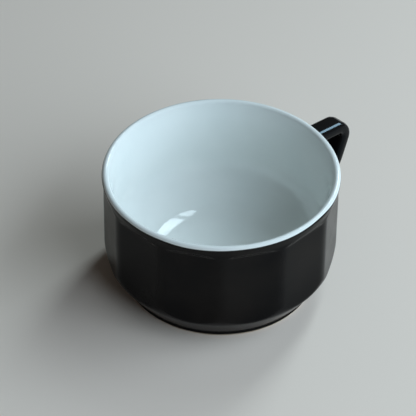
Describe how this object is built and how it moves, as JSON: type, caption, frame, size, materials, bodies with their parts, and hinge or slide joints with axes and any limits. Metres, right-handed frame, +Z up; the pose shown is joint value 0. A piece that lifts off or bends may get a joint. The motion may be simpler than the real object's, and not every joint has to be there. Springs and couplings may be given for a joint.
{
  "type": "soup mug",
  "caption": "Low ceramic soup mug with a faceted black-glazed outside, white-glazed bowl and rolled lip, a foot ring and an ear handle, for holding hot soup or drinks.",
  "frame": {"origin": "centre of the foot ring, on the plane of its bearing face", "axes": "+Z up through the middle of the bowl, +X towards the ear, +Y completes a right-handed frame"},
  "size_m": [0.1389, 0.11, 0.0622],
  "materials": {
    "clay": "matte",
    "slip": "matte",
    "white_glaze": "gloss",
    "black_glaze": "gloss"
  },
  "bodies": {
    "root": {"cup_body": "clay", "handle": "clay", "upper_slip_joint": "slip", "lower_slip_joint": "slip", "inner_glaze": "white_glaze", "outer_glaze": "black_glaze", "handle_glaze": "black_glaze", "base_glaze": "black_glaze"}
  },
  "joints": []
}
